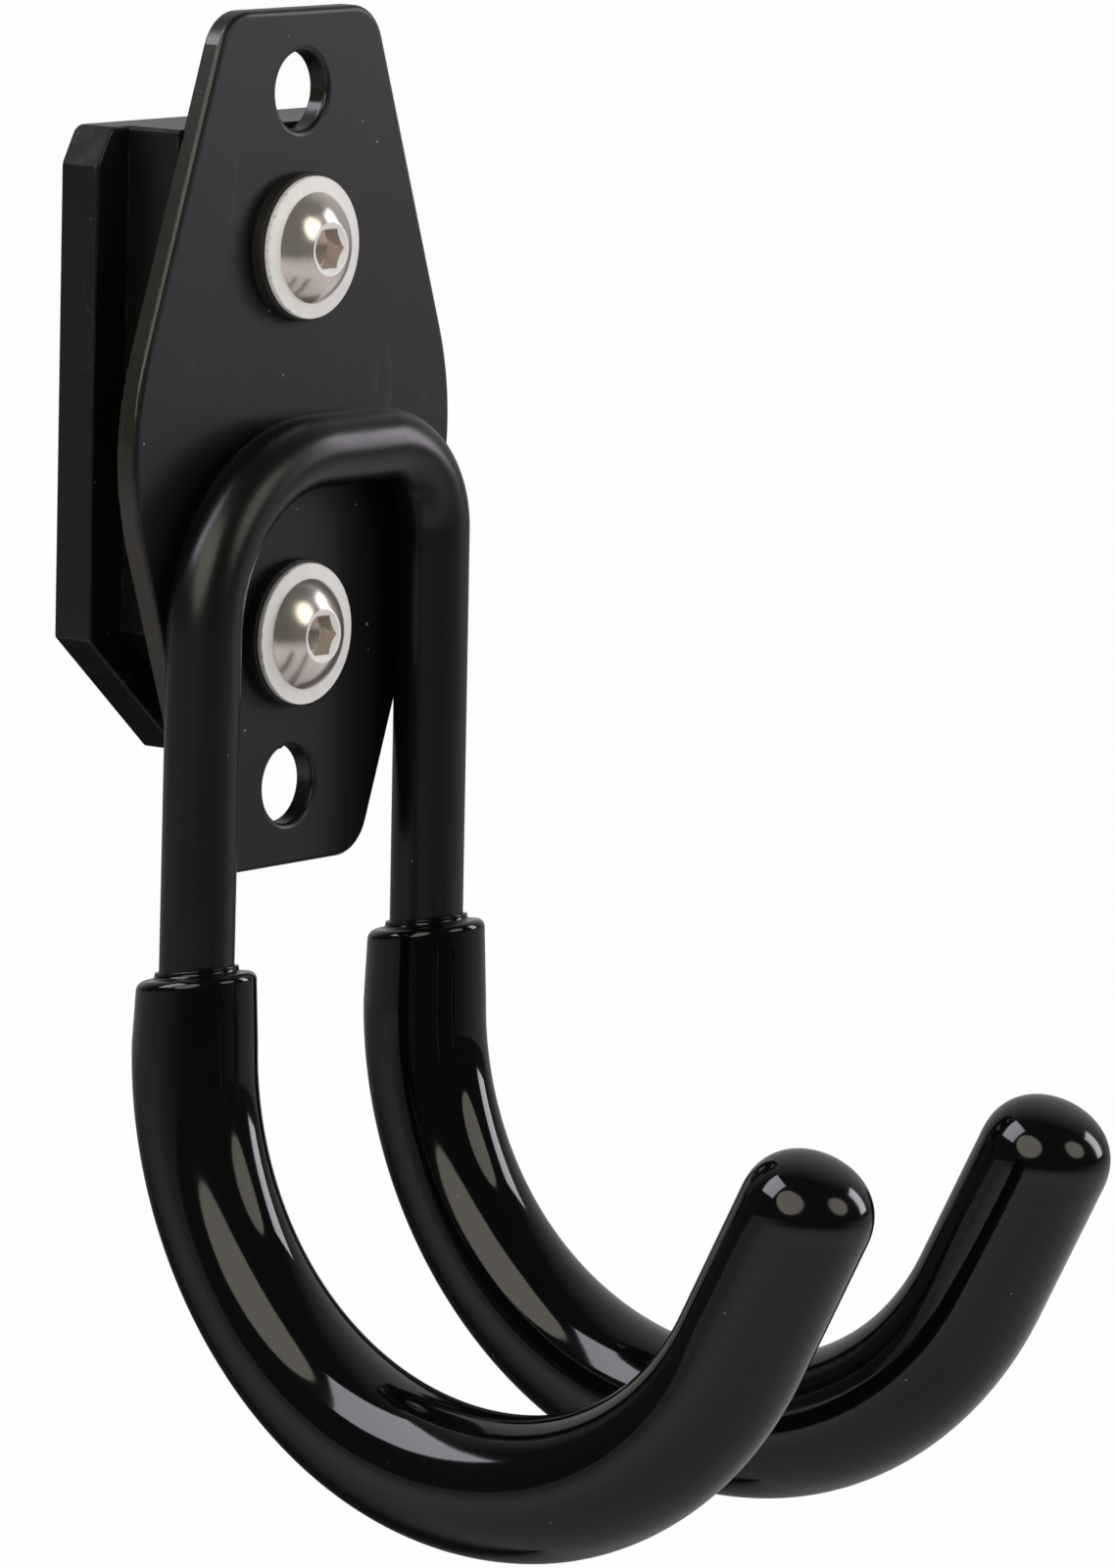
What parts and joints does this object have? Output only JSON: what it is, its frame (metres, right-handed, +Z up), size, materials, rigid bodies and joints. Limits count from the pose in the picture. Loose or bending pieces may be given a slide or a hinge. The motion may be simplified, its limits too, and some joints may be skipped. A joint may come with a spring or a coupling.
{
  "type": "double garage utility hook",
  "caption": "Wall-mounted garage hook: a bent steel rod with two sleeved J prongs, welded to an elongated hexagonal face plate and clamped to a T-shaped rail slider block.",
  "frame": {"origin": "centre of the rail block's rear face, midway between the two screws", "axes": "+Y into the wall, along the screws; +Z up, along the plate; +X to the right seen from the front"},
  "size_m": [0.0674, 0.1263, 0.1869],
  "materials": {
    "plate_coating": "satin charcoal powder coat",
    "rod_coating": "satin black powder coat",
    "sleeve_plastic": "high gloss black moulded vinyl",
    "block_plastic": "satin black moulded nylon",
    "screw_steel": "polished dome with a matte flange",
    "washer_plastic": "matte black",
    "nut_steel": "zinc plated"
  },
  "bodies": {
    "root": {"mount_plate": "plate_coating", "hook_rod": "rod_coating", "grip_sleeve_left": "sleeve_plastic", "grip_sleeve_right": "sleeve_plastic", "rail_block": "block_plastic", "flange_screws": "screw_steel", "washers": "washer_plastic", "hex_nuts": "nut_steel"}
  },
  "joints": []
}
